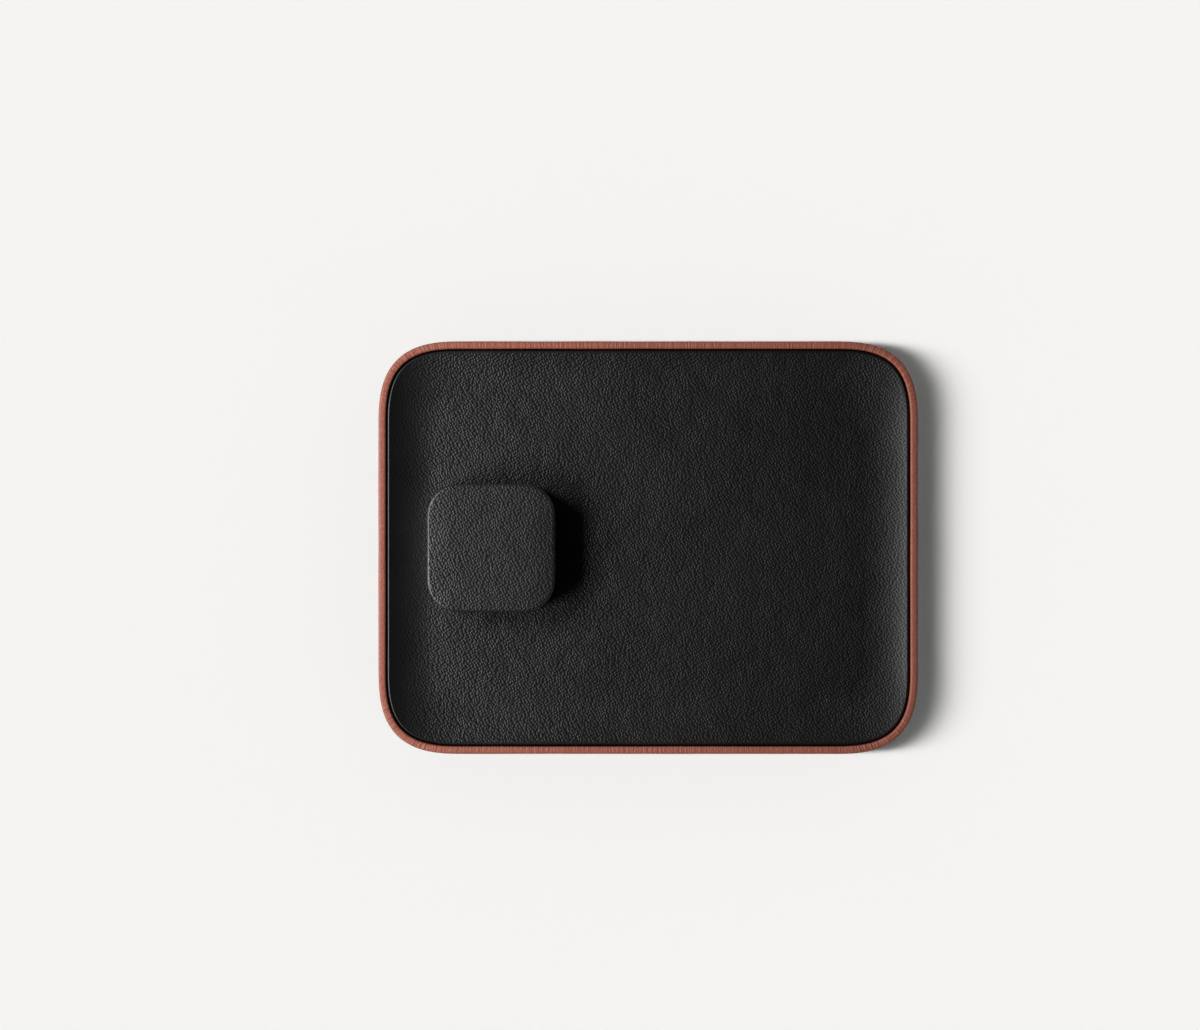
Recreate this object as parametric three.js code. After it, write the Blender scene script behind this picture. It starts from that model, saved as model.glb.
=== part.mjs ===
// A valet tray: a leather-wrapped frame around a dished, leather-lined core, and a small
// lidded box that stands on the floor of the dish. Millimetres, +Z up, origin on the table
// below the middle of the tray, length along X. The box stands towards -X.

import * as THREE from 'three';

// Outline of the tray. A corner reaches this far along its two sides, and its power says
// how square it is: 2 is a quarter circle.
const TRAY_LENGTH = 300;
const TRAY_WIDTH = 229.5;
const TRAY_HEIGHT = 20;
const TRAY_CORNER = 47;
const TRAY_CORNER_POWER = 2.8;

// Glue line between two layers, and the room under a piece that only stands on another
const BOND = 0.3;
const SEAT_GAP = 0.3;

// Base of the tray, from the table up
const BASE_COVER = 1.0;
const BASE_COVER_INSET = 4;
const BASE_BOARD = 2.5;
const CORE_FLOOR = 9.0;

// Wall of the tray: a thin frame with leather over the rim and turned in below the base
const WRAP = 1.0;
const WRAP_TURN_IN = 10;
const WRAP_INNER_DROP = 8;
const FRAME = 1.8;
const RIM_OUTER_ROUND = 1.1;
const RIM_INNER_ROUND = 0.8;
const BASE_EDGE_ROUND = 0.9;

// Dish: a lined core whose lip stands a groove away from the rim and a little lower
const GROOVE = 0.6;
const LIP_DROP = 0.8;
const LINING = 0.5;
const LINING_TURN_DOWN = 6;
const CORE_TIP_RADIUS = 0.2;
const DISH_SIDE = 26;
const FLOOR_CORNER = 30;

// Box and its lift-off lid
const BOX_SIZE = 70.7;
const BOX_HEIGHT = 26;
const BOX_CORNER = 19;
const BOX_CORNER_POWER = 2.2;
const BOX_WRAP = 1.0;
const BOX_TURN_IN = 8;
const BOX_INNER_DROP = 5;
const BOX_WALL = 1.8;
const BOX_BOARD = 2.0;
const BOX_EDGE_ROUND = 0.9;
const BOX_PAD = 1.0;
const BOX_PAD_INSET = 5.5;
const BOX_PAD_CLEARANCE = 2.4;
const NECK = 1.5;
const NECK_CLEARANCE = 0.5;
const SUEDE = 0.8;
const SEAM = 0.3;
const LID_HEIGHT = 12;
const LID_BOARD = 2.0;
const LID_PADDING = 1.5;
const LID_EDGE_ROUND = 1.5;

// Fineness of the faceted surfaces
const CORNER_STEPS = 8;
const ARC_STEPS = 4;
const SIDE_STEPS = 7;

const QUARTER = Math.PI / 2;
const { lerp } = THREE.MathUtils;

// Levels of the tray
const turnInLow = BASE_COVER + BOND;
const turnInHigh = turnInLow + WRAP;
const boardLow = turnInHigh + BOND;
const boardHigh = boardLow + BASE_BOARD;
const coreLow = boardHigh + BOND;
const floorTop = coreLow + CORE_FLOOR + BOND + LINING;

// Insets of the tray's layers, measured inwards from its outline
const frameOuter = WRAP + BOND;
const frameInner = frameOuter + FRAME;
const rimWidth = frameInner + BOND + WRAP;
const lipOuter = rimWidth + GROOVE;
const floorInset = lipOuter + DISH_SIDE;

// The side of the dish is an arc that leaves the floor level and runs into the round lip
const lipRadius = CORE_TIP_RADIUS + BOND + LINING;
const lipInset = lipOuter + lipRadius;
const lipLevel = TRAY_HEIGHT - LIP_DROP - lipRadius;
const sideRun = floorInset - lipInset;
const sideRise = lipLevel - floorTop;
const sideRadius = (sideRun ** 2 + sideRise ** 2 - lipRadius ** 2) / (2 * (lipRadius + sideRise));
const sideSweep = Math.asin(sideRun / (sideRadius + lipRadius));
const lipSweep = QUARTER + sideSweep;

// Levels of the box, measured from the tray's floor
const padHigh = SEAT_GAP + BOX_PAD;
const boxTurnInLow = padHigh + BOND;
const boxTurnInHigh = boxTurnInLow + BOX_WRAP;
const boxBoardLow = boxTurnInHigh + BOND;
const boxBoardHigh = boxBoardLow + BOX_BOARD;
const boxFloorLow = boxBoardHigh + BOND;
const lidSeat = BOX_HEIGHT - LID_HEIGHT;
const shoulder = lidSeat - SEAM;

// Levels of the lid, measured from its lower edge
const paddingHigh = LID_HEIGHT - BOX_WRAP - BOND;
const paddingLow = paddingHigh - LID_PADDING;
const lidBoardHigh = paddingLow - BOND;
const lidBoardLow = lidBoardHigh - LID_BOARD;
const lidLiningHigh = lidBoardLow - BOND;
const lidCeiling = lidLiningHigh - SUEDE;
const neckTop = lidSeat + lidCeiling - NECK_CLEARANCE;

// Insets of the layers of the box and the lid, measured inwards from the box's outline
const boxWallOuter = BOX_WRAP + BOND;
const boxWallInner = boxWallOuter + BOX_WALL;
const boxRimWidth = boxWallInner + BOND + BOX_WRAP;
const lidLiningOuter = boxWallInner + BOND;
const lidLiningInner = lidLiningOuter + SUEDE;
const neckOuter = Math.max(lidLiningInner + NECK_CLEARANCE, boxRimWidth + BOND);
const neckInner = neckOuter + NECK;
const boxLiningOuter = neckInner + BOND;
const boxLiningInner = boxLiningOuter + SUEDE;

// The box's pad lies on the flat of the floor, just clear of where the -X side of the dish starts
const boxPlace = BOX_PAD_CLEARANCE + BOX_SIZE / 2 - BOX_PAD_INSET + floorInset - TRAY_LENGTH / 2;

const tanLeather = new THREE.MeshStandardMaterial({ color: '#8f5545', roughness: 0.5 });
const blackLeather = new THREE.MeshStandardMaterial({ color: '#1b1b1c', roughness: 0.45 });
const blackSuede = new THREE.MeshStandardMaterial({ color: '#232224', roughness: 0.95 });
const blackFelt = new THREE.MeshStandardMaterial({ color: '#1d1d1e', roughness: 1 });
const wood = new THREE.MeshStandardMaterial({ color: '#b8946a', roughness: 0.8 });
const dyedBoard = new THREE.MeshStandardMaterial({ color: '#1c1b1a', roughness: 0.85 });
const greyBoard = new THREE.MeshStandardMaterial({ color: '#a7a39b', roughness: 0.9 });
const foam = new THREE.MeshStandardMaterial({ color: '#3a3a3c', roughness: 1 });

/** Cosine and sine of an angle, each drawn out by a power with its sign kept. */
function drawnCircle(angle, power) {
  const draw = (value) => Math.sign(value) * Math.abs(value) ** power;
  return new THREE.Vector2(draw(Math.cos(angle)), draw(Math.sin(angle)));
}

/** Rectangle with superelliptic corners, counterclockwise: its points and outward normals. */
function cornered(length, width, corner, power) {
  const points = [];
  for (let turn = 0; turn < 4; turn += 1) {
    const sideX = turn === 0 || turn === 3 ? 1 : -1;
    const sideY = turn < 2 ? 1 : -1;
    const middle = new THREE.Vector2(sideX * (length / 2 - corner), sideY * (width / 2 - corner));
    for (let step = 0; step <= CORNER_STEPS; step += 1) {
      const angle = (turn + step / CORNER_STEPS) * QUARTER;
      const normal = drawnCircle(angle, 2 - 2 / power).normalize();
      const at = drawnCircle(angle, 2 / power).multiplyScalar(corner).add(middle);
      points.push({ at, normal });
    }
  }
  return points;
}

const trayOutline = cornered(TRAY_LENGTH, TRAY_WIDTH, TRAY_CORNER, TRAY_CORNER_POWER);
const boxOutline = cornered(BOX_SIZE, BOX_SIZE, BOX_CORNER, BOX_CORNER_POWER);
const floorOutline = cornered(
  TRAY_LENGTH - 2 * floorInset,
  TRAY_WIDTH - 2 * floorInset,
  FLOOR_CORNER,
  TRAY_CORNER_POWER,
);

/** The outline drawn in by an even margin. */
function drawnIn(outline, inset) {
  return outline.map(({ at, normal }) => at.clone().addScaledVector(normal, -inset));
}

/** Rings of an outline for each [inset, height] of a section. */
function ringsOf(outline, section) {
  return section.map(([inset, height]) =>
    drawnIn(outline, inset).map(({ x, y }) => new THREE.Vector3(x, y, height)));
}

/** Arc in a section: angle 0 points outwards, a quarter turn up, a half turn inwards. */
function arc(inset, height, radius, from, to) {
  const points = [];
  for (let step = 0; step <= ARC_STEPS; step += 1) {
    const angle = lerp(from, to, step / ARC_STEPS);
    points.push([inset - radius * Math.cos(angle), height + radius * Math.sin(angle)]);
  }
  return points;
}

/** Triangles between each ring and the next, and, where closed, between the last and the first. */
function skinFaces(ringCount, pointCount, closed) {
  const faces = [];
  for (let ring = 0; ring < (closed ? ringCount : ringCount - 1); ring += 1) {
    const low = ring * pointCount;
    const high = ((ring + 1) % ringCount) * pointCount;
    for (let point = 0; point < pointCount; point += 1) {
      const next = (point + 1) % pointCount;
      faces.push(low + point, low + next, high + next, low + point, high + next, high + point);
    }
  }
  return faces;
}

function solidOf(rings, faces) {
  const geometry = new THREE.BufferGeometry().setFromPoints(rings.flat());
  geometry.setIndex(faces);
  geometry.computeVertexNormals();
  return geometry;
}

/** Ring-shaped solid: the rings run up its outside, over it, down its inside and back. */
function hoop(rings) {
  return solidOf(rings, skinFaces(rings.length, rings[0].length, true));
}

/** Dished or domed solid: the first ring is filled facing down, the last one facing up. */
function vessel(rings) {
  const count = rings[0].length;
  const lastStart = (rings.length - 1) * count;
  const low = THREE.ShapeUtils.triangulateShape(rings[0], []);
  const high = THREE.ShapeUtils.triangulateShape(rings.at(-1), []);
  const faces = skinFaces(rings.length, count, false);
  low.forEach(([a, b, c]) => faces.push(a, c, b));
  high.forEach(([a, b, c]) => faces.push(lastStart + a, lastStart + b, lastStart + c));
  return solidOf(rings, faces);
}

/** Flat sheet or board cut to the outline drawn in by an inset. */
function plate(outline, inset, low, high) {
  const shape = new THREE.Shape(drawnIn(outline, inset));
  return new THREE.ExtrudeGeometry(shape, { depth: high - low, bevelEnabled: false }).translate(0, 0, low);
}

/** Upright wall between two insets. */
function wall(outline, outer, inner, low, high) {
  return hoop(ringsOf(outline, [[outer, low], [outer, high], [inner, high], [inner, low]]));
}

/** Leather folded over a wall: turned in below, up the outside, over the top and part way down inside. */
function foldedSkin(outline, skin, width, low, high, { turnIn, drop, edgeRound, outerRound, innerRound }) {
  return hoop(ringsOf(outline, [
    [turnIn, low],
    ...arc(edgeRound, low + edgeRound, edgeRound, -QUARTER, 0),
    ...arc(outerRound, high - outerRound, outerRound, 0, QUARTER),
    ...arc(width - innerRound, high - innerRound, innerRound, QUARTER, 2 * QUARTER),
    [width, high - drop],
    [width - skin, high - drop],
    [width - skin, high - skin],
    [skin, high - skin],
    [skin, low + skin],
    [turnIn, low + skin],
  ]));
}

/** Rings of the side of the dish, from the floor up, sunk square below its leather face. */
function dishSide(sunk) {
  const lip = drawnIn(trayOutline, lipInset + lipRadius * Math.sin(sideSweep));
  const run = sideRadius * Math.sin(sideSweep);
  const rings = [];
  for (let step = 0; step < SIDE_STEPS; step += 1) {
    const angle = sideSweep * step / SIDE_STEPS;
    const share = (sideRadius + sunk) * Math.sin(angle) / run;
    const height = floorTop + sideRadius - (sideRadius + sunk) * Math.cos(angle);
    rings.push(floorOutline.map(({ at }, point) =>
      new THREE.Vector3(lerp(at.x, lip[point].x, share), lerp(at.y, lip[point].y, share), height)));
  }
  return rings;
}

function outerWrap() {
  return foldedSkin(trayOutline, WRAP, rimWidth, turnInLow, TRAY_HEIGHT, {
    turnIn: WRAP_TURN_IN,
    drop: WRAP_INNER_DROP,
    edgeRound: BASE_EDGE_ROUND,
    outerRound: RIM_OUTER_ROUND,
    innerRound: RIM_INNER_ROUND,
  });
}

function wallFrame() {
  return wall(trayOutline, frameOuter, frameInner, boardLow, TRAY_HEIGHT - WRAP - BOND);
}

/** Solid core under the lining: flat below, dished above, with a thin round tip all round. */
function insertCore() {
  const sunk = LINING + BOND;
  const section = [
    [lipOuter + sunk, coreLow],
    ...arc(lipInset, lipLevel, CORE_TIP_RADIUS, 0, lipSweep),
  ];
  return vessel([...ringsOf(trayOutline, section), ...dishSide(sunk).reverse()]);
}

/** Leather over the dish, folded over the tip of the core and down its outside. */
function trayLining() {
  const hem = lipLevel - LINING_TURN_DOWN;
  const fold = [
    ...arc(lipInset, lipLevel, lipRadius - LINING, lipSweep, 0),
    [lipOuter + LINING, hem],
    [lipOuter, hem],
    ...arc(lipInset, lipLevel, lipRadius, 0, lipSweep),
  ];
  return vessel([...dishSide(LINING), ...ringsOf(trayOutline, fold), ...dishSide(0).reverse()]);
}

function boxWrap() {
  return foldedSkin(boxOutline, BOX_WRAP, boxRimWidth, boxTurnInLow, shoulder, {
    turnIn: BOX_TURN_IN,
    drop: BOX_INNER_DROP,
    edgeRound: BOX_EDGE_ROUND,
    outerRound: BOX_EDGE_ROUND,
    innerRound: BOX_EDGE_ROUND,
  });
}

/** Suede cup inside the box: its floor, and its side up to the top of the neck. */
function boxLining() {
  return vessel(ringsOf(boxOutline, [
    [boxLiningOuter, boxFloorLow],
    [boxLiningOuter, neckTop],
    [boxLiningInner, neckTop],
    [boxLiningInner, boxFloorLow + SUEDE],
  ]));
}

/** Leather cap of the lid, turned in under the lower edge of its wall. */
function lidWrap() {
  const level = LID_HEIGHT - LID_EDGE_ROUND;
  return vessel(ringsOf(boxOutline, [
    ...arc(LID_EDGE_ROUND, level, LID_EDGE_ROUND - BOX_WRAP, QUARTER, 0),
    [BOX_WRAP, BOX_WRAP],
    [boxWallInner, BOX_WRAP],
    [boxWallInner, 0],
    ...arc(BOX_EDGE_ROUND, BOX_EDGE_ROUND, BOX_EDGE_ROUND, -QUARTER, 0),
    ...arc(LID_EDGE_ROUND, level, LID_EDGE_ROUND, 0, QUARTER),
  ]));
}

/** Foam under the leather of the lid, round along its upper edge. */
function lidPadding() {
  const round = Math.min(LID_EDGE_ROUND - BOX_WRAP - BOND, LID_PADDING);
  return vessel(ringsOf(boxOutline, [
    [boxWallOuter, paddingLow],
    ...arc(boxWallOuter + round, paddingHigh - round, round, 0, QUARTER),
  ]));
}

/** Suede inside the lid: its ceiling, and its side down to the lower edge. */
function lidLining() {
  return vessel(ringsOf(boxOutline, [
    [lidLiningInner, lidCeiling],
    [lidLiningInner, BOND],
    [lidLiningOuter, BOND],
    [lidLiningOuter, lidLiningHigh],
  ]));
}

function piece(name, geometry, material) {
  const mesh = new THREE.Mesh(geometry, material);
  mesh.name = name;
  return mesh;
}

function lidGroup() {
  const lid = new THREE.Group();
  lid.position.z = lidSeat;
  return lid.add(
    piece('lid_wrap', lidWrap(), blackLeather),
    piece('lid_padding', lidPadding(), foam),
    piece('lid_board', plate(boxOutline, boxWallOuter, lidBoardLow, lidBoardHigh), wood),
    piece('lid_wall', wall(boxOutline, boxWallOuter, boxWallInner, boxWallOuter, lidLiningHigh), wood),
    piece('lid_lining', lidLining(), blackSuede),
  );
}

function boxGroup() {
  const box = new THREE.Group();
  const wallHigh = shoulder - BOX_WRAP - BOND;
  box.position.set(boxPlace, 0, floorTop);
  return box.add(
    piece('box_foot_pad', plate(boxOutline, BOX_PAD_INSET, SEAT_GAP, padHigh), blackFelt),
    piece('box_infill_card', plate(boxOutline, BOX_TURN_IN + BOND, boxTurnInLow, boxTurnInHigh), greyBoard),
    piece('box_base_board', plate(boxOutline, boxWallInner + BOND, boxBoardLow, boxBoardHigh), wood),
    piece('box_wall', wall(boxOutline, boxWallOuter, boxWallInner, boxBoardLow, wallHigh), wood),
    piece('box_wrap', boxWrap(), blackLeather),
    piece('box_neck', wall(boxOutline, neckOuter, neckInner, boxFloorLow, neckTop), greyBoard),
    piece('box_lining', boxLining(), blackSuede),
    lidGroup(),
  );
}

const tray = new THREE.Group();
tray.add(
  piece('base_cover', plate(trayOutline, BASE_COVER_INSET, 0, BASE_COVER), blackSuede),
  piece('base_infill_card', plate(trayOutline, WRAP_TURN_IN + BOND, turnInLow, turnInHigh), greyBoard),
  piece('base_board', plate(trayOutline, frameInner + BOND, boardLow, boardHigh), dyedBoard),
  piece('wall_frame', wallFrame(), dyedBoard),
  piece('outer_wrap', outerWrap(), tanLeather),
  piece('insert_core', insertCore(), wood),
  piece('tray_lining', trayLining(), blackLeather),
  boxGroup(),
);

export default tray;
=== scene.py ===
"""A leather valet tray with a small lidded box standing in it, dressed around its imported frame."""

import math

import bmesh
import bpy
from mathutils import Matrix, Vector

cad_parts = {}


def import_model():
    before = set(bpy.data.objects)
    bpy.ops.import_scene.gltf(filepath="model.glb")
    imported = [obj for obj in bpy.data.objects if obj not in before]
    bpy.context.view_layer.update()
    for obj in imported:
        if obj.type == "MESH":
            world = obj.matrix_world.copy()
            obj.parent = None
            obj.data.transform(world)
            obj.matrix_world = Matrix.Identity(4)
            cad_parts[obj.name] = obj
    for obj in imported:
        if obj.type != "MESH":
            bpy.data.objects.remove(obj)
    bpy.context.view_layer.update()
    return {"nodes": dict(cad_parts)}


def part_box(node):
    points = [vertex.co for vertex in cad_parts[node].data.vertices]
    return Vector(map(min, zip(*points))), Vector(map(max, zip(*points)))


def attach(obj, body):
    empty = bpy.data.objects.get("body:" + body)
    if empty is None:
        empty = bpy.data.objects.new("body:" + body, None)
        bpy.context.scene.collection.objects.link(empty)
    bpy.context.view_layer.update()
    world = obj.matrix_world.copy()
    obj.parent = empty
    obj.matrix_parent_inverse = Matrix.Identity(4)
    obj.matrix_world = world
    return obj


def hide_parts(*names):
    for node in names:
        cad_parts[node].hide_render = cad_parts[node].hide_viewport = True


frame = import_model()

MM = 0.001
TINY = 0.01 * MM

# Outlines: how far a corner reaches along its two sides, and its power, where 2 is a quarter circle
TRAY_CORNER = 47 * MM
TRAY_POWER = 2.8
FLOOR_CORNER = 30 * MM
BOX_CORNER = 19 * MM
BOX_POWER = 2.2

# Sheets and folds
GLUE_LINE = 0.3 * MM
WRAP_LEATHER = 1.0 * MM
DISH_LEATHER = 0.5 * MM
SUEDE_SHEET = 0.8 * MM
FOLD_ROUND = 0.9 * MM
NAP_ROUND = 0.35 * MM
RIM_WIDTH = 4.4 * MM
RIM_ROUND = 2.1 * MM
RIM_POWER = 3.6
RIM_TURN_IN = 10 * MM
RIM_DROP = 8 * MM
RIM_WANDER = 28 * MM
RIM_WANDER_DEPTH = 0.22 * MM
LIP_RADIUS = 1.0 * MM
LIP_HEM = 6 * MM
DISH_SIDE = 26 * MM
DISH_WANDER = 22 * MM
DISH_WANDER_DEPTH = 0.18 * MM
BOX_RIM_WIDTH = 4.4 * MM
BOX_TURN_IN = 8 * MM
BOX_DROP = 5 * MM
LID_TURN_IN = 3.1 * MM
LID_ROUND = 1.8 * MM
LID_POWER = 2.7
LID_CROWN = 0.3 * MM
LID_CROWN_SHARES = (0.4, 0.3, 0.2, 0.1)
LID_CROWN_RING = 2.8 * MM

# Fineness of the meshes
CORNER_STEPS = 24
ROUND_STEPS = 7
SIDE_CUTS = 19
LONG_EDGE = 20 * MM
LONG_EDGE_CUTS = 24
FLOOR_RING = 2 * MM
END_RING = 1 * MM
SMOOTH_ANGLE = math.radians(40)
FACE_WEIGHT = 80

# How much a face's normal rises where the face counts as level, nearly level or upright
LEVEL = 0.9999
NEARLY_LEVEL = 0.9
UPRIGHT = 0.5

# Places read from the frame
rim_low, rim_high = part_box("outer_wrap")
lining_low, lining_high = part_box("tray_lining")
pad_low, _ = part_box("box_foot_pad")
box_low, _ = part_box("box_wrap")
tray_middle = (rim_low + rim_high) / 2
lip_inset = lining_low.x - rim_low.x
lip_level = lining_high.z - LIP_RADIUS
floor_level = pad_low.z - GLUE_LINE

bpy.ops.object.select_all(action="DESELECT")


# Modelling helpers

def squareness(power):
    """The bevel profile that draws a corner of this power."""
    return 0.25 ** (1 / power)


def inner_corner(corner, outer_low, low):
    """The reach of a corner on an outline that lies evenly inside another."""
    return corner - (low.x - outer_low.x)


def plan_face(low, high, corner, power):
    """Adds a flat face with drawn-out round corners at the level of low, selected, in edit mode."""
    bpy.ops.mesh.primitive_plane_add(size=1)
    if bpy.context.mode == "OBJECT":
        bpy.ops.object.mode_set(mode="EDIT")
    bpy.ops.transform.resize(value=(high.x - low.x, high.y - low.y, 1))
    bpy.ops.mesh.bevel(
        offset=corner, segments=CORNER_STEPS, profile=squareness(power), affect="VERTICES"
    )
    bpy.ops.transform.translate(value=((low.x + high.x) / 2, (low.y + high.y) / 2, low.z))
    bpy.ops.mesh.select_mode(type="FACE")
    return bpy.context.object


def new_piece(name, low, high, corner, power):
    """Starts a piece as a flat face of its outline, in edit mode."""
    bpy.ops.object.select_all(action="DESELECT")
    piece = plan_face(low, high, corner, power)
    piece.name = name
    piece.data.name = name
    return piece


def draw_up(rise):
    bpy.ops.mesh.extrude_region_move(TRANSFORM_OT_translate={"value": (0, 0, rise)})


def draw_in(inset, rise=0.0):
    bpy.ops.mesh.inset(thickness=inset, depth=rise)


def draw_round(radius, start, end):
    """Draws the selected face in along an arc: angle 0 stands upright, a quarter turn lies level."""
    step = (end - start) / ROUND_STEPS
    for index in range(ROUND_STEPS):
        here = start + index * step
        ahead = here + step
        inset = radius * (math.cos(here) - math.cos(ahead))
        draw_in(inset, radius * (math.sin(ahead) - math.sin(here)))


def pick_faces(piece, wanted):
    """Picks the faces that the test wants, by their middle and their normal."""
    bpy.ops.mesh.select_all(action="DESELECT")
    bpy.ops.mesh.select_mode(type="FACE")
    mesh = bmesh.from_edit_mesh(piece.data)
    for face in mesh.faces:
        if wanted(face.calc_center_median(), face.normal):
            face.select_set(True)
    bmesh.update_edit_mesh(piece.data)


def pick_edges(piece, wanted):
    bpy.ops.mesh.select_all(action="DESELECT")
    bpy.ops.mesh.select_mode(type="EDGE")
    mesh = bmesh.from_edit_mesh(piece.data)
    for edge in mesh.edges:
        if wanted(edge):
            edge.select_set(True)
    bmesh.update_edit_mesh(piece.data)


def lies_at(edge, level):
    return all(abs(vert.co.z - level) < TINY for vert in edge.verts)


def pick_level_edges(piece, level):
    """Picks the edges where an upright wall meets this level."""
    def wanted(edge):
        walls = any(abs(face.normal.z) < UPRIGHT for face in edge.link_faces)
        return walls and lies_at(edge, level)

    pick_edges(piece, wanted)


def pick_top(piece, level):
    pick_faces(piece, lambda middle, normal: normal.z > LEVEL and abs(middle.z - level) < TINY)


def pick_bottom(piece, level):
    pick_faces(piece, lambda middle, normal: normal.z < -LEVEL and abs(middle.z - level) < TINY)


def round_edges(radius, profile=0.5):
    bpy.ops.mesh.bevel(offset=radius, segments=ROUND_STEPS, profile=profile, affect="EDGES")


def cut_long_edges(piece):
    """Splits the long straight runs, so that a slow wave can bend them."""
    pick_edges(piece, lambda edge: edge.calc_length() > LONG_EDGE)
    bpy.ops.mesh.subdivide(number_cuts=LONG_EDGE_CUTS)


def close_edit():
    """Turns the faces outwards and leaves edit mode."""
    bpy.ops.mesh.select_all(action="SELECT")
    bpy.ops.mesh.normals_make_consistent(inside=False)
    bpy.ops.object.mode_set(mode="OBJECT")


def take_up(piece):
    bpy.ops.object.select_all(action="DESELECT")
    piece.select_set(True)
    bpy.context.view_layer.objects.active = piece


def apply_modifier(piece, kind, **settings):
    take_up(piece)
    modifier = piece.modifiers.new(kind.lower(), kind)
    for name, value in settings.items():
        setattr(modifier, name, value)
    bpy.ops.object.modifier_apply(modifier=modifier.name)


def thicken(piece, sheet):
    """Gives an open skin its thickness on the inner side."""
    apply_modifier(piece, "SOLIDIFY", thickness=sheet, offset=-1.0, use_even_offset=True)


def smooth(piece):
    take_up(piece)
    bpy.ops.object.shade_smooth_by_angle(angle=SMOOTH_ANGLE)
    apply_modifier(piece, "WEIGHTED_NORMAL", mode="FACE_AREA", weight=FACE_WEIGHT, keep_sharp=True)


def hand_wave(piece, name, size, depth):
    """Lets a hand-laid skin wander a little inwards along its length."""
    wave = bpy.data.textures.new(name, "CLOUDS")
    wave.noise_scale = size
    wave.noise_depth = 1
    apply_modifier(piece, "DISPLACE", texture=wave, strength=depth, mid_level=1.0)


def lay_grain(piece):
    """Lays the hide flat on the piece from its three sides, so that the grain keeps its size."""
    bpy.ops.object.mode_set(mode="EDIT")
    bpy.ops.mesh.select_all(action="SELECT")
    bpy.ops.uv.cube_project(cube_size=1.0)
    bpy.ops.object.mode_set(mode="OBJECT")
    piece.data.uv_layers[0].name = GRAIN_MAP


def dress(piece, body, slot, material, *nodes):
    """Gives a piece its finish, the body it rides on and the CAD nodes it stands for."""
    lay_grain(piece)
    piece.data.materials.clear()
    piece.data.materials.append(material)
    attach(piece, body)
    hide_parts(*nodes)


# Pieces

def folded_leather(name, node, corner, power, width, turn_in, drop, top_round):
    """Leather folded round a wall: turned in below, up the outside, over the top and down inside."""
    low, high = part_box(node)
    piece = new_piece(name, low, high, corner, power)
    draw_up(high.z - low.z)
    pick_level_edges(piece, low.z)
    round_edges(FOLD_ROUND)
    pick_top(piece, high.z)
    draw_in(width)
    draw_up(-drop)
    bpy.ops.mesh.delete(type="FACE")
    pick_level_edges(piece, high.z)
    round_edges(top_round, squareness(RIM_POWER))
    pick_bottom(piece, low.z)
    draw_in(turn_in - FOLD_ROUND)
    bpy.ops.mesh.delete(type="FACE")
    return piece


def rim_leather(material):
    piece = folded_leather(
        "rim_leather", "outer_wrap", TRAY_CORNER, TRAY_POWER,
        width=RIM_WIDTH, turn_in=RIM_TURN_IN, drop=RIM_DROP, top_round=RIM_ROUND,
    )
    cut_long_edges(piece)
    close_edit()
    hand_wave(piece, "rim_wander", RIM_WANDER, RIM_WANDER_DEPTH)
    thicken(piece, WRAP_LEATHER)
    smooth(piece)
    dress(piece, "tray", "tan_leather", material, "outer_wrap")
    # Keeps the rim's tan from tinting the pale floor beside it
    piece.visible_diffuse = False
    return piece


def side_arc():
    """The arc of the dish's side: its radius, and how far it turns from the floor to the lip."""
    run = DISH_SIDE - LIP_RADIUS
    rise = lip_level - floor_level
    radius = (run ** 2 + rise ** 2 - LIP_RADIUS ** 2) / (2 * (LIP_RADIUS + rise))
    return radius, math.asin(run / (radius + LIP_RADIUS))


def curve_side(piece, radius, sweep, side_high):
    """Brings the bridged side of the dish, which runs straight, onto its arc."""
    slope = (side_high - floor_level) / (radius * math.sin(sweep))
    mesh = bmesh.from_edit_mesh(piece.data)
    for vert in mesh.verts:
        inset = min(
            rim_high.x - abs(vert.co.x - tray_middle.x), rim_high.y - abs(vert.co.y - tray_middle.y)
        )
        between = floor_level - TINY < vert.co.z < side_high - TINY
        if between and inset > lip_inset + LIP_RADIUS:
            out = (vert.co.z - floor_level) / slope
            vert.co.z = floor_level + radius - math.sqrt(radius ** 2 - out ** 2)
    bmesh.update_edit_mesh(piece.data)


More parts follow.
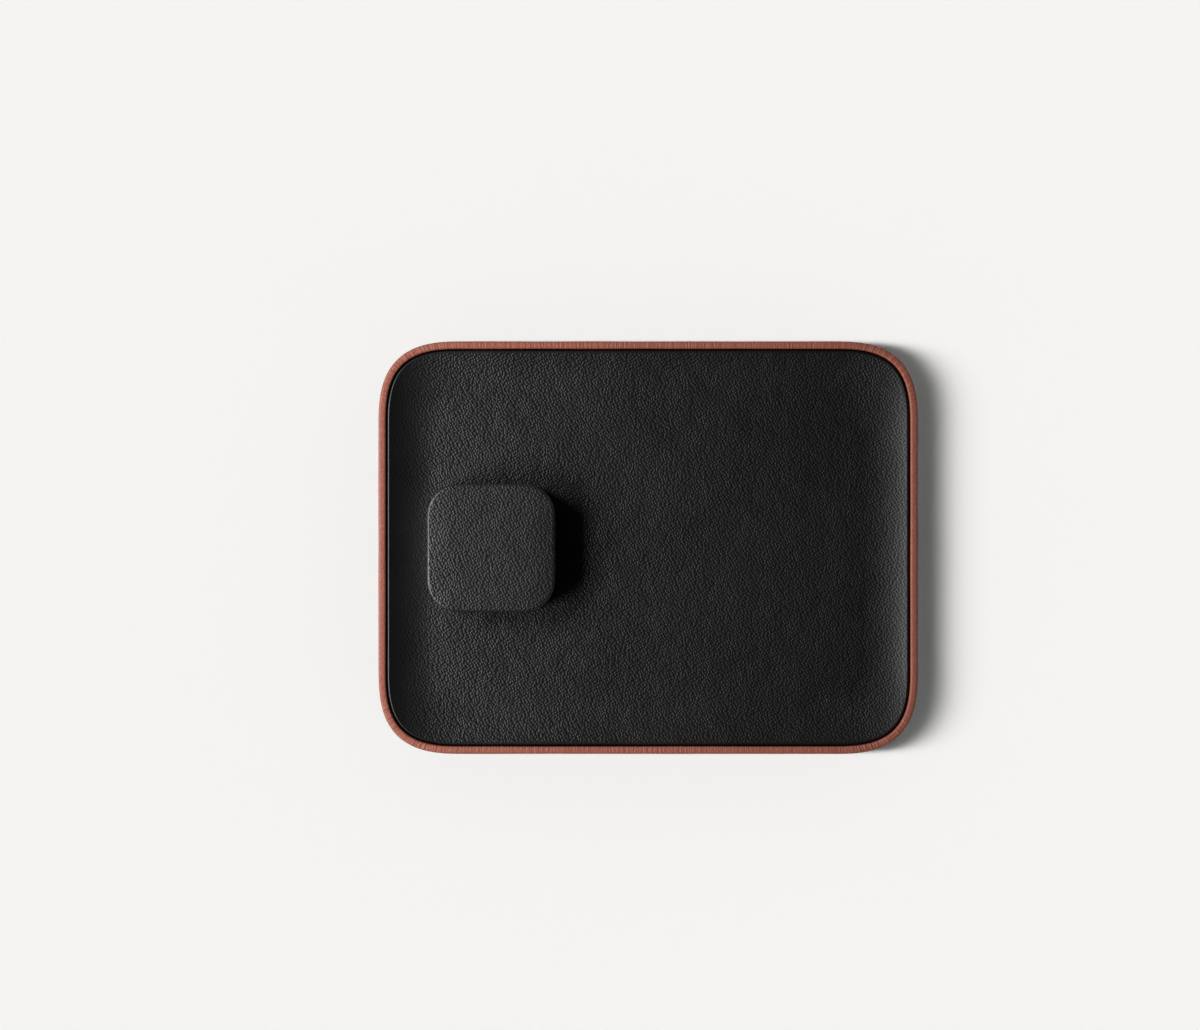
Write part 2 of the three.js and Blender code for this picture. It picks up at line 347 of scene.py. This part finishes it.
def dish_leather(material):
    """Leather over the dish: up the hem, over the lip, and down an arc to the flat floor."""
    radius, sweep = side_arc()
    side_high = lip_level + LIP_RADIUS * math.cos(sweep)

    hem_low = Vector((rim_low.x, rim_low.y, lip_level - LIP_HEM))
    piece = new_piece("dish_leather", hem_low, rim_high, TRAY_CORNER, TRAY_POWER)
    draw_in(lip_inset)
    bpy.ops.mesh.select_all(action="INVERT")
    bpy.ops.mesh.delete(type="FACE")
    bpy.ops.mesh.select_all(action="SELECT")
    draw_up(LIP_HEM)
    draw_round(LIP_RADIUS, 0, math.pi / 2 + sweep)
    bpy.ops.mesh.delete(type="ONLY_FACE")

    floor_inset = lip_inset + DISH_SIDE
    inset = Vector((floor_inset, floor_inset, 0))
    floor_low = rim_low + inset
    floor_low.z = floor_level
    plan_face(floor_low, rim_high - inset, FLOOR_CORNER, TRAY_POWER)
    bpy.ops.mesh.delete(type="ONLY_FACE")
    pick_bottom(piece, hem_low.z)
    bpy.ops.mesh.delete(type="ONLY_FACE")
    pick_edges(piece, lambda edge: not edge.link_faces or (
        edge.is_boundary and min(vert.co.z for vert in edge.verts) > lip_level))
    bpy.ops.mesh.bridge_edge_loops(type="SINGLE", number_cuts=SIDE_CUTS, interpolation="LINEAR")
    curve_side(piece, radius, sweep, side_high)

    pick_edges(piece, lambda edge: edge.is_boundary and lies_at(edge, floor_level))
    bpy.ops.mesh.edge_face_add()
    draw_in(FLOOR_RING)
    cut_long_edges(piece)
    close_edit()
    hand_wave(piece, "dish_wander", DISH_WANDER, DISH_WANDER_DEPTH)
    thicken(piece, DISH_LEATHER)
    smooth(piece)
    dress(piece, "tray", "black_leather", material, "tray_lining")
    return piece


def flat_sheet(name, node, outer_low, corner, power):
    """A sheet cut to a node's outline, with its edges soft."""
    low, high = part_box(node)
    piece = new_piece(name, low, high, inner_corner(corner, outer_low, low), power)
    draw_up(high.z - low.z)
    pick_level_edges(piece, low.z)
    round_edges(NAP_ROUND)
    pick_level_edges(piece, high.z)
    round_edges(NAP_ROUND)
    pick_top(piece, high.z)
    draw_in(NAP_ROUND)
    pick_bottom(piece, low.z)
    draw_in(NAP_ROUND)
    close_edit()
    smooth(piece)
    return piece


def base_suede(material):
    piece = flat_sheet("base_suede", "base_cover", rim_low, TRAY_CORNER, TRAY_POWER)
    dress(piece, "tray", "black_suede", material, "base_cover")
    return piece


def box_felt(material):
    piece = flat_sheet("box_felt", "box_foot_pad", box_low, BOX_CORNER, BOX_POWER)
    dress(piece, "box", "black_felt", material, "box_foot_pad")
    return piece


def box_leather(material):
    piece = folded_leather(
        "box_leather", "box_wrap", BOX_CORNER, BOX_POWER,
        width=BOX_RIM_WIDTH, turn_in=BOX_TURN_IN, drop=BOX_DROP, top_round=FOLD_ROUND,
    )
    close_edit()
    thicken(piece, WRAP_LEATHER)
    smooth(piece)
    dress(piece, "box", "black_leather", material, "box_wrap")
    return piece


def lid_leather(material):
    """Leather cap over the lid's foam: a low crown, a soft edge, and the sides turned in below."""
    low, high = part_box("lid_wrap")
    brow = high.z - LID_CROWN
    piece = new_piece("lid_leather", low, high, BOX_CORNER, BOX_POWER)
    draw_up(brow - low.z)
    pick_level_edges(piece, low.z)
    round_edges(FOLD_ROUND)
    pick_level_edges(piece, brow)
    round_edges(LID_ROUND, squareness(LID_POWER))
    lid_middle = (low + high) / 2
    pick_faces(piece, lambda middle, normal: (
        normal.z > NEARLY_LEVEL and (middle - lid_middle).xy.length < END_RING))
    for share in LID_CROWN_SHARES:
        draw_in(LID_CROWN_RING, share * LID_CROWN)
    draw_in(END_RING)
    pick_bottom(piece, low.z)
    draw_in(LID_TURN_IN - FOLD_ROUND)
    bpy.ops.mesh.delete(type="FACE")
    close_edit()
    thicken(piece, WRAP_LEATHER)
    smooth(piece)
    dress(piece, "lid", "black_leather", material, "lid_wrap")
    return piece


def suede_cup(name, node, body, material, mouth_up):
    """Suede bonded inside a wall: one end closed, the other open."""
    low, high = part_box(node)
    piece = new_piece(name, low, high, inner_corner(BOX_CORNER, box_low, low), BOX_POWER)
    draw_up(high.z - low.z)
    if mouth_up:
        pick_top(piece, high.z)
        bpy.ops.mesh.delete(type="ONLY_FACE")
        pick_bottom(piece, low.z)
    else:
        pick_bottom(piece, low.z)
        bpy.ops.mesh.delete(type="ONLY_FACE")
        pick_top(piece, high.z)
    draw_in(END_RING)
    close_edit()
    thicken(piece, SUEDE_SHEET)
    smooth(piece)
    dress(piece, body, "black_suede", material, node)
    return piece


def neck_suede(material):
    """Collar that guides the lid, with its upper edge rounded over."""
    low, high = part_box("box_neck")
    lining_side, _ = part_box("box_lining")
    wall = lining_side.x - GLUE_LINE - low.x
    piece = new_piece("neck_suede", low, high, inner_corner(BOX_CORNER, box_low, low), BOX_POWER)
    draw_up(high.z - low.z)
    pick_level_edges(piece, high.z)
    round_edges(NAP_ROUND)
    pick_top(piece, high.z)
    draw_in(wall - 2 * NAP_ROUND)
    draw_round(NAP_ROUND, math.pi / 2, math.pi)
    draw_up(low.z - high.z + NAP_ROUND)
    bpy.ops.mesh.delete(type="ONLY_FACE")
    pick_bottom(piece, low.z)
    bpy.ops.mesh.delete(type="ONLY_FACE")
    pick_edges(piece, lambda edge: edge.is_boundary)
    bpy.ops.mesh.bridge_edge_loops(type="SINGLE")
    close_edit()
    smooth(piece)
    dress(piece, "box", "black_suede", material, "box_neck")
    return piece


# Finishes: a pair gives where a change starts and where it ends

# Pebble grain: its size, its lattice, and how it is drifted and bent, in grains
GRAIN_MAP = "grain"
GRAIN = 1.6 * MM
GRAIN_TURN = math.radians(-28)
GRAIN_EVENNESS = 0.4
DRIFT_SCALE = 0.13
DRIFT_REACH = 2.0
BEND_SCALE = 0.5
BEND_REACH = 0.6
PEBBLE_FALL = (0.05, 0.7)
WRINKLE_SCALE = 1.9
WRINKLE_SHARE = 0.1
SLOW_SCALE = 0.05
SLOW_SPAN = (0.3, 0.7)
SLOW_SHADE = 0.9
CREASE_MATT = 0.06
WEAR = 0.02

# How strongly the grain stands on a tight fold, up the dish's ends and on its lip
FOLD_GRAIN = 0.25
FOLD_TO_LEVEL = (0.80, 0.94)
WALL_TO_FOLD = (0.1, 0.35)
END_GRAIN = 0.3
LIP_GRAIN = 0.1
LIP_BAND = 0.34 * MM
LIP_BAND_FULL = 0.4

# Gathers across the rim, with painted shade in their troughs and painted light on their ridges
GATHER = 0.75 * MM
GATHER_SLANT = 0.03
GATHER_STRAIGHT = 0.5
GATHER_DEPTH = 0.11 * MM
GATHER_PAINTED_SHADE = 0.9
GATHER_DROP = 5 * MM
GATHER_SPAN = (0.32, 0.68)
INTO_CORNER = (0.1, 0.5)
OUT_OF_CORNER = (1.07, 1.47)

# Nap, board and foam
FIBRE_SHARE = 0.6
STROKE_SCALE = 0.02
STROKE_SHARE = 0.5
NAP_DEPTH = 0.6
NAP_ROUGHNESS = 0.95
SHEEN_ROUGHNESS = 0.45
FLECK_DEPTH = 0.05 * MM
BOARD_ROUGHNESS = 0.85
PORE_DEPTH = 0.3
FOAM_ROUGHNESS = 1.0

# Where a colour mix node keeps its two colours and its result
MIX_COLOURS = (6, 7)
MIX_RESULT = 2


def new_finish(name):
    """A material with its shader and the piece's own coordinates."""
    material = bpy.data.materials.new(name)
    material.use_nodes = True
    tree = material.node_tree
    shader = tree.nodes["Principled BSDF"]
    place = tree.nodes.new("ShaderNodeTexCoord").outputs["Object"]
    return material, tree, shader, place


def noise(tree, place, scale, detail=3.0, rough=0.5):
    node = tree.nodes.new("ShaderNodeTexNoise")
    node.inputs["Scale"].default_value = scale
    node.inputs["Detail"].default_value = detail
    node.inputs["Roughness"].default_value = rough
    tree.links.new(place, node.inputs["Vector"])
    return node


def cells(tree, place, scale, evenness=0.0):
    node = tree.nodes.new("ShaderNodeTexVoronoi")
    node.feature = "F1"
    node.inputs["Scale"].default_value = scale
    node.inputs["Randomness"].default_value = 1 - evenness
    tree.links.new(place, node.inputs["Vector"])
    return node


def spread(tree, value, low, high, to_low, to_high, kind="SMOOTHSTEP"):
    """Carries a value from one span over to another."""
    node = tree.nodes.new("ShaderNodeMapRange")
    node.interpolation_type = kind
    tree.links.new(value, node.inputs["Value"])
    node.inputs["From Min"].default_value = low
    node.inputs["From Max"].default_value = high
    node.inputs["To Min"].default_value = to_low
    node.inputs["To Max"].default_value = to_high
    return node.outputs["Result"]


def reckon(tree, kind, *values):
    """Works out sums on numbers and on the outputs of other nodes."""
    node = tree.nodes.new("ShaderNodeMath")
    node.operation = kind
    for socket, value in zip(node.inputs, values):
        if isinstance(value, (int, float)):
            socket.default_value = value
        else:
            tree.links.new(value, socket)
    return node.outputs["Value"]


def axes(tree, place):
    node = tree.nodes.new("ShaderNodeSeparateXYZ")
    tree.links.new(place, node.inputs["Vector"])
    return node.outputs


def mixed(tree, share, first, second):
    node = tree.nodes.new("ShaderNodeMix")
    node.data_type = "RGBA"
    tree.links.new(share, node.inputs["Factor"])
    for index, colour in zip(MIX_COLOURS, (first, second)):
        node.inputs[index].default_value = (*colour, 1)
    return node.outputs[MIX_RESULT]


def warped(tree, place, scale, reach):
    """Coordinates pushed about by a noise, so that cells lose their straight sides."""
    push = noise(tree, place, scale, detail=1.0)
    middle = tree.nodes.new("ShaderNodeVectorMath")
    middle.operation = "SUBTRACT"
    tree.links.new(push.outputs["Color"], middle.inputs[0])
    middle.inputs[1].default_value = (0.5, 0.5, 0.5)
    moved = tree.nodes.new("ShaderNodeVectorMath")
    moved.operation = "MULTIPLY_ADD"
    tree.links.new(middle.outputs["Vector"], moved.inputs[0])
    moved.inputs[1].default_value = (reach, reach, reach)
    tree.links.new(place, moved.inputs[2])
    return moved.outputs["Vector"]


def turned(tree, place, angle):
    node = tree.nodes.new("ShaderNodeMapping")
    node.inputs["Rotation"].default_value = (0, 0, angle)
    tree.links.new(place, node.inputs["Vector"])
    return node.outputs["Vector"]


def taut_folds(tree):
    """How strongly the grain stands: fully on the level and on walls, faintly on a tight fold."""
    facing = tree.nodes.new("ShaderNodeTexCoord").outputs["Normal"]
    level = reckon(tree, "ABSOLUTE", axes(tree, facing)["Z"])
    ground = spread(tree, level, *FOLD_TO_LEVEL, FOLD_GRAIN, 1.0)
    wall = spread(tree, level, *WALL_TO_FOLD, 1.0, FOLD_GRAIN)
    return reckon(tree, "MAXIMUM", ground, wall)


def smooth_lip(tree, place, strength):
    """Weakens the grain up the dish's ends, and most where the hide is pulled tight over its lip."""
    here = axes(tree, place)
    out = reckon(tree, "ABSOLUTE", here["X"])
    end = rim_high.x - lip_inset
    ends = spread(tree, out, end - DISH_SIDE, end - LIP_RADIUS, 1.0, END_GRAIN, "LINEAR")
    band = (lining_high.z - LIP_BAND, lining_high.z - LIP_BAND_FULL * LIP_BAND)
    lip = spread(tree, here["Z"], *band, 1.0, LIP_GRAIN)
    return reckon(tree, "MINIMUM", strength, reckon(tree, "MINIMUM", ends, lip))


def rim_run(tree, here):
    """How far along the rim a point lies, alike in each quarter, and its turn round the corner."""
    straight = rim_high - tray_middle - Vector((TRAY_CORNER, TRAY_CORNER, 0))
    along, past = [], []
    for axis, length in (("X", straight.x), ("Y", straight.y)):
        out = reckon(tree, "ABSOLUTE", here[axis])
        along.append(reckon(tree, "MINIMUM", out, length))
        past.append(reckon(tree, "MAXIMUM", reckon(tree, "SUBTRACT", out, length), 0.0))
    turn = reckon(tree, "ARCTAN2", past[1], past[0])
    corner = reckon(tree, "MULTIPLY", turn, TRAY_CORNER)
    run = reckon(tree, "ADD", corner, reckon(tree, "SUBTRACT", along[1], along[0]))
    return run, turn


def gathers(tree, place):
    """Fine folds across the rim, deepest round the corners, fading down the wall."""
    here = axes(tree, place)
    run, turn = rim_run(tree, here)
    across = tree.nodes.new("ShaderNodeCombineXYZ")
    tree.links.new(reckon(tree, "MULTIPLY", run, 1 / GATHER), across.inputs["X"])
    for slow, axis in (("X", "Y"), ("Y", "Z")):
        slant = reckon(tree, "MULTIPLY", here[slow], GATHER_SLANT / GATHER)
        tree.links.new(slant, across.inputs[axis])
    folds = noise(tree, across.outputs["Vector"], 1.0, detail=0.5).outputs["Fac"]
    rising = spread(tree, turn, *INTO_CORNER, GATHER_STRAIGHT, 1.0)
    falling = spread(tree, turn, *OUT_OF_CORNER, 1.0, GATHER_STRAIGHT)
    upper = spread(tree, here["Z"], rim_high.z - GATHER_DROP, rim_high.z - RIM_ROUND, 0.0, 1.0)
    depth = reckon(tree, "MULTIPLY", reckon(tree, "MINIMUM", rising, falling), upper)
    return reckon(tree, "MULTIPLY", spread(tree, folds, *GATHER_SPAN, -1.0, 1.0), depth)


def relief(tree, shader, height, depth, strength=None):
    """Adds a relief on top of any that the shader has."""
    bump = tree.nodes.new("ShaderNodeBump")
    for link in shader.inputs["Normal"].links:
        tree.links.new(link.from_socket, bump.inputs["Normal"])
    bump.inputs["Distance"].default_value = depth
    if strength is not None:
        tree.links.new(strength, bump.inputs["Strength"])
    tree.links.new(height, bump.inputs["Height"])
    tree.links.new(bump.outputs["Normal"], shader.inputs["Normal"])


def pebbled_leather(name, crest, crease_shade, depth, gloss, shine, gathered=False, lipped=False):
    """Pebbled hide: rounded cells parted by creases, with finer wrinkles and slow random changes of
    tone on them; the creases take the darker crease colour as painted shade.
    """
    material, tree, shader, place = new_finish(name)
    hide = tree.nodes.new("ShaderNodeUVMap")
    hide.uv_map = GRAIN_MAP
    drifted = warped(tree, hide.outputs["UV"], DRIFT_SCALE / GRAIN, DRIFT_REACH * GRAIN)
    bent = warped(tree, drifted, BEND_SCALE / GRAIN, BEND_REACH * GRAIN)
    slanted = turned(tree, bent, GRAIN_TURN)
    pebbles = cells(tree, slanted, 1 / GRAIN, GRAIN_EVENNESS)
    pebbles.voronoi_dimensions = "2D"
    pebble = spread(tree, pebbles.outputs["Distance"], *PEBBLE_FALL, 1.0, 0.0)
    wrinkle = noise(tree, slanted, WRINKLE_SCALE / GRAIN, detail=1.0).outputs["Fac"]
    height = reckon(tree, "ADD", pebble, reckon(tree, "MULTIPLY", wrinkle, WRINKLE_SHARE))
    strength = taut_folds(tree)
    if lipped:
        strength = smooth_lip(tree, place, strength)
    relief(tree, shader, height, depth, strength)
    slow = noise(tree, place, SLOW_SCALE / GRAIN, detail=2.0).outputs["Fac"]
    shade = spread(tree, slow, *SLOW_SPAN, SLOW_SHADE, 1.0, "LINEAR")
    tone = reckon(tree, "MULTIPLY", pebble, shade)
    if gathered:
        folds = gathers(tree, place)
        relief(tree, shader, folds, GATHER_DEPTH)
        # The folds also tint the colour: painted shade in their troughs, painted light on their
        # ridges
        tone = reckon(tree, "ADD", tone, reckon(tree, "MULTIPLY", folds, GATHER_PAINTED_SHADE))
    # Base colour: the darker crease colour is painted shade in the creases between the pebbles
    tree.links.new(mixed(tree, tone, crease_shade, crest), shader.inputs["Base Color"])
    polish = spread(tree, pebble, 0.0, 1.0, gloss + CREASE_MATT, gloss, "LINEAR")
    worn = reckon(tree, "ADD", polish, spread(tree, slow, *SLOW_SPAN, -WEAR, WEAR, "LINEAR"))
    tree.links.new(worn, shader.inputs["Roughness"])
    shader.inputs["Specular IOR Level"].default_value = shine
    return material


def napped(name, dark, light, fibre, sheen):
    """Suede or felt: short fibres with slow strokes in the nap."""
    material, tree, shader, place = new_finish(name)
    fine = noise(tree, place, 1 / fibre, detail=4.0, rough=0.7).outputs["Fac"]
    strokes = noise(tree, place, STROKE_SCALE / fibre, detail=3.0).outputs["Fac"]
    fibres = reckon(tree, "MULTIPLY", fine, FIBRE_SHARE)
    tone = reckon(tree, "ADD", fibres, reckon(tree, "MULTIPLY", strokes, STROKE_SHARE))
    tree.links.new(mixed(tree, tone, dark, light), shader.inputs["Base Color"])
    relief(tree, shader, fine, NAP_DEPTH * fibre)
    shader.inputs["Roughness"].default_value = NAP_ROUGHNESS
    shader.inputs["Sheen Weight"].default_value = sheen
    shader.inputs["Sheen Roughness"].default_value = SHEEN_ROUGHNESS
    return material


def pressed_board(name, dark, light, fleck):
    """Fibreboard or card: matt, with pressed flecks."""
    material, tree, shader, place = new_finish(name)
    flecks = noise(tree, place, 1 / fleck, detail=5.0, rough=0.65).outputs["Fac"]
    tree.links.new(mixed(tree, flecks, dark, light), shader.inputs["Base Color"])
    relief(tree, shader, flecks, FLECK_DEPTH)
    shader.inputs["Roughness"].default_value = BOARD_ROUGHNESS
    return material


def foam_sheet(name, dark, light, pore):
    """Foam: dull, with open pores, their pits painted darker as painted shade."""
    material, tree, shader, place = new_finish(name)
    pores = cells(tree, place, 1 / pore).outputs["Distance"]
    # Pits take the dark colour: painted shade in the pores
    tree.links.new(mixed(tree, pores, dark, light), shader.inputs["Base Color"])
    relief(tree, shader, pores, PORE_DEPTH * pore)
    shader.inputs["Roughness"].default_value = FOAM_ROUGHNESS
    return material


def finish_hidden_nodes():
    """The boards, cards and foam inside keep their solids and get their own finishes."""
    fibreboard = pressed_board(
        "fibreboard", dark=(0.30, 0.19, 0.10), light=(0.50, 0.35, 0.21), fleck=0.9 * MM
    )
    # The base board and wall frame are coloured near black: painted shade that keeps the groove
    # between rim and dish dark
    dyed_board = pressed_board(
        "dyed_board", dark=(0.003, 0.003, 0.003), light=(0.011, 0.0105, 0.01), fleck=0.9 * MM
    )
    grey_card = pressed_board(
        "grey_card", dark=(0.27, 0.26, 0.24), light=(0.46, 0.44, 0.41), fleck=0.6 * MM
    )
    foam = foam_sheet(
        "lid_foam", dark=(0.02, 0.02, 0.022), light=(0.06, 0.06, 0.063), pore=0.5 * MM
    )
    finishes = {
        "base_board": dyed_board,
        "wall_frame": dyed_board,
        "insert_core": fibreboard,
        "box_base_board": fibreboard,
        "box_wall": fibreboard,
        "lid_board": fibreboard,
        "lid_wall": fibreboard,
        "base_infill_card": grey_card,
        "box_infill_card": grey_card,
        "lid_padding": foam,
    }
    for node, material in finishes.items():
        mesh = frame["nodes"][node].data
        mesh.materials.clear()
        mesh.materials.append(material)


# Stage, light and camera

# Pale floor
FLOOR_SIZE = 12
FLOOR_COLOUR = (0.922, 0.913, 0.896)
FLOOR_MOTTLE = 3.0
FLOOR_PALER = 1.004
FLOOR_ROUGHNESS = 0.9

# Two key lamps for the object, in metres and watts
KEY_AWAY = 0.73
KEY_ASIDE = 0.24
KEY_HEIGHT = 0.69
KEY_AIM = (0, 0, 0.015)
KEY_WIDTH = 0.43
KEY_TALL = 0.56
KEY_POWER = 18.5

# A bank of distant lamps for the floor, rising in steps of degrees, strongest in its middle
FLOOR_LAMPS = 7
FLOOR_LAMP_LOW = 28
FLOOR_LAMP_STEP = 6
FLOOR_LAMP_OVERLAP = 2
FLOOR_LAMP_SPREAD = 2.6
FLOOR_KEY = 0.827
FLOOR_FILL = 0.08

# Room round the object
CORNER_PANELS = 0.6
CORNER_FADE = (0.12, 0.42)
WALL_PANELS = 0.15
REAR_PANEL = 0.5
REAR_FADE = (0.6, 0.85)
PANEL_TOP_FADE = (0.1, 0.65)
DARK_ROOM = 0.012
BACKDROP = 0.92

# Camera: the photograph's frame, where the tray's middle lies in it, and the size of a pixel
PHOTO_WIDTH = 1200
PHOTO_HEIGHT = 1030
TRAY_MIDDLE_PIXEL = (648.2, 547.65)
PIXEL = 0.5553 * MM
CAMERA_HEIGHT = 2.2
SENSOR_WIDTH = 36


def floor():
    bpy.ops.object.select_all(action="DESELECT")
    bpy.ops.mesh.primitive_plane_add(size=FLOOR_SIZE)
    ground = bpy.context.object
    ground.name = "floor"
    material, tree, shader, place = new_finish("pale_floor")
    mottle = noise(tree, place, FLOOR_MOTTLE, detail=2.0).outputs["Fac"]
    paler = tuple(min(1.0, FLOOR_PALER * channel) for channel in FLOOR_COLOUR)
    tree.links.new(mixed(tree, mottle, FLOOR_COLOUR, paler), shader.inputs["Base Color"])
    shader.inputs["Roughness"].default_value = FLOOR_ROUGHNESS
    shader.inputs["Specular IOR Level"].default_value = 0.0
    ground.data.materials.append(material)
    return ground


def add_lamp(name, kind, place, target, energy):
    bpy.ops.object.light_add(type=kind, location=place)
    lamp = bpy.context.object
    lamp.name = name
    lamp.data.energy = energy
    lamp.rotation_euler = (Vector(target) - lamp.location).to_track_quat("-Z", "Y").to_euler()
    return lamp


def light_only(lamp, things):
    """Keeps a lamp's light to the things given; everything still casts its shadow."""
    group = bpy.data.collections.new(lamp.name + "_lights")
    for thing in things:
        group.objects.link(thing)
    lamp.light_linking.receiver_collection = group


def key_lamps(things):
    """Two tall soft lamps at the left for the object."""
    for side, aside in (("rear", KEY_ASIDE), ("front", -KEY_ASIDE)):
        place = (-KEY_AWAY, aside, KEY_HEIGHT)
        key = add_lamp("key_" + side, "AREA", place, KEY_AIM, KEY_POWER / 2)
        key.data.shape = "ELLIPSE"
        key.data.size = KEY_WIDTH
        key.data.size_y = KEY_TALL
        light_only(key, things)


def floor_lamps(ground):
    """A bank of lamps at the left for the floor, and a weak one overhead."""
    middle = (FLOOR_LAMPS - 1) / 2
    shares = [
        math.exp(-((step - middle) / FLOOR_LAMP_SPREAD) ** 2) for step in range(FLOOR_LAMPS)
    ]
    for step, share in enumerate(shares):
        height = math.radians(FLOOR_LAMP_LOW + FLOOR_LAMP_STEP * step)
        place = (-math.cos(height), 0, math.sin(height))
        level = math.pi * FLOOR_KEY * share / sum(shares) / math.sin(height)
        lamp = add_lamp("floor_lamp_" + str(step + 1), "SUN", place, (0, 0, 0), level)
        lamp.data.angle = math.radians(FLOOR_LAMP_STEP + FLOOR_LAMP_OVERLAP)
        light_only(lamp, [ground])
    fill = add_lamp("floor_fill", "SUN", (0, 0, 1), (0, 0, 0), math.pi * FLOOR_FILL)
    light_only(fill, [ground])


def world():
    """A dark room, paler low down at its rear and corners, with a pale backdrop for the camera."""
    sky = bpy.data.worlds.new("studio")
    bpy.context.scene.world = sky
    sky.use_nodes = True
    tree = sky.node_tree
    background = tree.nodes["Background"]
    background.inputs["Color"].default_value = (1, 1, 1, 1)
    way = axes(tree, tree.nodes.new("ShaderNodeTexCoord").outputs["Generated"])
    off_axis = reckon(tree, "ABSOLUTE", reckon(tree, "MULTIPLY", way["X"], way["Y"]))
    corners = spread(tree, off_axis, *CORNER_FADE, WALL_PANELS, CORNER_PANELS)
    rear = spread(tree, way["Y"], *REAR_FADE, 0.0, REAR_PANEL)
    panels = reckon(tree, "MAXIMUM", corners, rear)
    low = spread(tree, way["Z"], *PANEL_TOP_FADE, 1.0, 0.0)
    room = reckon(tree, "ADD", reckon(tree, "MULTIPLY", panels, low), DARK_ROOM)
    path = tree.nodes.new("ShaderNodeLightPath")
    seen = tree.nodes.new("ShaderNodeMix")
    tree.links.new(path.outputs["Is Camera Ray"], seen.inputs["Factor"])
    tree.links.new(room, seen.inputs["A"])
    seen.inputs["B"].default_value = BACKDROP
    tree.links.new(seen.outputs["Result"], background.inputs["Strength"])


def camera():
    """Looks straight down, with the tray where the photograph has it."""
    across = PHOTO_WIDTH / 2 - TRAY_MIDDLE_PIXEL[0]
    up = TRAY_MIDDLE_PIXEL[1] - PHOTO_HEIGHT / 2
    place = (across * PIXEL, up * PIXEL, rim_high.z + CAMERA_HEIGHT)
    bpy.ops.object.camera_add(location=place, rotation=(0, 0, 0))
    eye = bpy.context.object
    eye.data.sensor_width = SENSOR_WIDTH
    eye.data.lens = SENSOR_WIDTH * CAMERA_HEIGHT / (PHOTO_WIDTH * PIXEL)
    bpy.context.scene.camera = eye


# The finished tray on its floor

# Leather colours: each crease colour is painted shade for the creases between the pebbles
BLACK_CREST = (0.0026, 0.0026, 0.0027)
BLACK_CREASE_SHADE = (0.0010, 0.0010, 0.0011)
TAN_CREST = (0.262, 0.079, 0.051)
TAN_CREASE_SHADE = (0.218, 0.064, 0.040)

dish_hide = pebbled_leather(
    "black_leather", BLACK_CREST, BLACK_CREASE_SHADE, depth=0.14 * MM, gloss=0.36, shine=0.45, lipped=True
)
box_hide = pebbled_leather(
    "box_leather", BLACK_CREST, BLACK_CREASE_SHADE, depth=0.13 * MM, gloss=0.36, shine=0.54
)
tan_hide = pebbled_leather(
    "tan_leather", TAN_CREST, TAN_CREASE_SHADE, depth=0.09 * MM, gloss=0.46, shine=0.36, gathered=True
)
suede = napped(
    "black_suede",
    dark=(0.006, 0.006, 0.0065), light=(0.02, 0.0195, 0.021), fibre=0.12 * MM, sheen=0.25,
)
felt = napped(
    "black_felt",
    dark=(0.006, 0.006, 0.006), light=(0.022, 0.022, 0.0225), fibre=0.25 * MM, sheen=0.1,
)

finish_hidden_nodes()
pieces = [
    rim_leather(tan_hide),
    dish_leather(dish_hide),
    base_suede(suede),
    box_felt(felt),
    box_leather(box_hide),
    neck_suede(suede),
    suede_cup("box_suede", "box_lining", "box", suede, mouth_up=True),
    lid_leather(box_hide),
    suede_cup("lid_suede", "lid_lining", "lid", suede, mouth_up=False),
]
ground = floor()
key_lamps(pieces + list(frame["nodes"].values()))
floor_lamps(ground)
world()
camera()

bpy.context.scene.view_settings.view_transform = "Standard"
